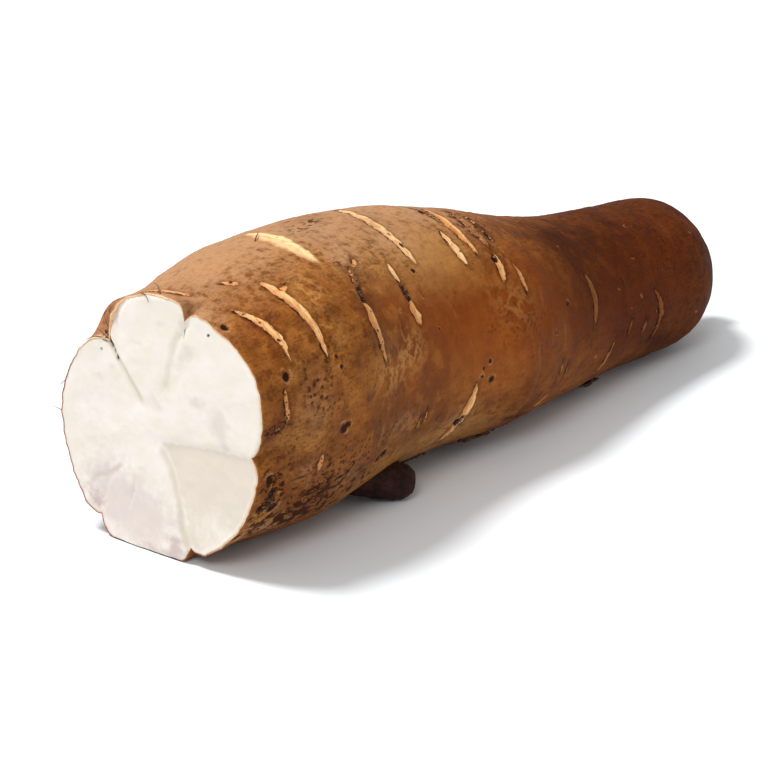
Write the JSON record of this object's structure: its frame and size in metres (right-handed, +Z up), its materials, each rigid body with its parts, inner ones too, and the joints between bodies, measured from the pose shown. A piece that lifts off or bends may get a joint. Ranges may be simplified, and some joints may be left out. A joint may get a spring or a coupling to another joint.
{
  "type": "cassava root",
  "caption": "Whole cassava root with bark on, cut square at the thick end to show white flesh and tapering to a snapped tail. It lies on its side.",
  "frame": {"origin": "centre of the footprint, on the surface the root lies on", "axes": "+X along the root from the cut end to the tail, +Z up, +Y to the left seen from the cut end"},
  "size_m": [0.251, 0.0808, 0.0775],
  "materials": {
    "bark": "matte, dry",
    "flesh": "moist, slightly waxy"
  },
  "bodies": {
    "root": {"cassava_root": "bark"}
  },
  "joints": []
}
